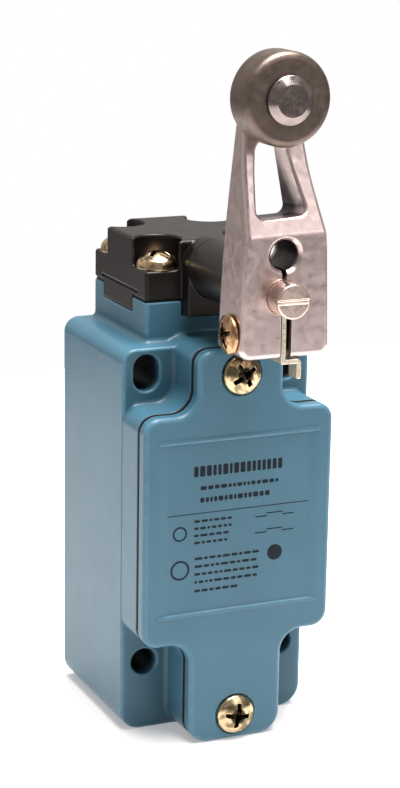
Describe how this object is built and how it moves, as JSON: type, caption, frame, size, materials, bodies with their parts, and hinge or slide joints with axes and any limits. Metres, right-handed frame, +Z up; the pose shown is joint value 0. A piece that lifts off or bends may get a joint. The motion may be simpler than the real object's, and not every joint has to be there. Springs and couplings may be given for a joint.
{
  "type": "limit switch",
  "caption": "Side-rotary limit switch: die-cast case with front cover, black turret head, spring-return roller lever and a double-break contact block inside.",
  "frame": {"origin": "centre of the four-hole mounting pattern, on the back mounting face", "axes": "+Z up along the case towards the head, +Y out of the back mounting face, front cover towards -Y, +X across the width"},
  "size_m": [0.04, 0.0656, 0.1377],
  "materials": {
    "blue_enamel": "satin enamel on zinc die casting",
    "black_rubber": "matt moulded rubber",
    "yellow_zinc": "yellow passivated zinc plating",
    "black_head": "satin black coating on die casting",
    "bronze": "oil-filled sintered bronze",
    "shaft_steel": "turned stainless steel",
    "bright_steel": "turned and ground steel",
    "dark_steel": "phosphated spring steel",
    "spring_steel": "drawn spring wire",
    "cast_lever": "as-cast zinc alloy, lightly tumbled",
    "tab_plate": "plated sheet steel",
    "roller_metal": "dark sintered metal",
    "pin_steel": "turned steel",
    "dark_moulding": "glass-filled moulding",
    "ivory_moulding": "acetal moulding",
    "contact_brass": "rolled brass strip",
    "silver_tip": "silver contact face",
    "terminal_steel": "zinc plated steel",
    "ground_green": "green passivated steel"
  },
  "bodies": {
    "case": {"housing": "blue_enamel", "front_cover": "blue_enamel", "cover_gasket": "black_rubber", "cover_screws": "yellow_zinc", "head_body": "black_head", "head_gasket": "black_rubber", "head_screws": "yellow_zinc", "front_bush": "bronze", "rear_bush": "bronze", "shaft_seal": "black_rubber", "plunger_guide": "bronze", "plunger_seal": "black_rubber", "return_spring": "spring_steel", "switch_base": "dark_moulding", "switch_cover": "dark_moulding", "carriage_spring": "spring_steel", "nc_terminals": "contact_brass", "no_terminals": "contact_brass", "fixed_tips": "silver_tip", "terminal_screws": "terminal_steel", "wire_clamps": "tab_plate", "block_screws": "terminal_steel", "ground_screw": "ground_green", "ground_clamp": "contact_brass"},
    "lever": {"rotary_shaft": "shaft_steel", "cam": "bright_steel", "cam_pin": "bright_steel", "retaining_ring": "dark_steel", "thrust_washer": "bright_steel", "lever_arm": "cast_lever", "clamp_screw": "yellow_zinc", "clamp_plate": "tab_plate", "roller_bush": "bronze", "roller_pin": "pin_steel"},
    "roller_wheel": {"roller": "roller_metal"},
    "plunger": {"follower": "bright_steel", "plunger_rod": "bright_steel"},
    "carriage": {"contact_carriage": "ivory_moulding", "nc_bridge": "contact_brass", "no_bridge": "contact_brass", "bridge_springs": "spring_steel"}
  },
  "joints": [
    {"name": "lever_swing", "type": "hinge", "parent": "case", "child": "lever", "pos_m": [0, -0.0504, 0.0489], "axis": [0, 1, 0], "range_deg": [-75, 75], "stiffness_Nm_per_rad": 0.12},
    {"name": "roller_spin", "type": "hinge", "parent": "lever", "child": "roller_wheel", "pos_m": [0, -0.0581, 0.08475], "axis": [0, 1, 0], "continuous": true},
    {"name": "plunger_slide", "type": "slide", "parent": "case", "child": "plunger", "axis": [0, 0, -1], "range_m": [0, 0.0022], "stiffness_N_per_m": 1200, "springref_m": -0.003, "deforming": ["return_spring"]},
    {"name": "carriage_slide", "type": "slide", "parent": "case", "child": "carriage", "axis": [0, 0, -1], "range_m": [0, 0.0022], "stiffness_N_per_m": 250, "springref_m": -0.002, "deforming": ["carriage_spring"]}
  ],
  "couplings": [
    {"joint": "carriage_slide", "follows": "plunger_slide", "ratio": 1}
  ]
}
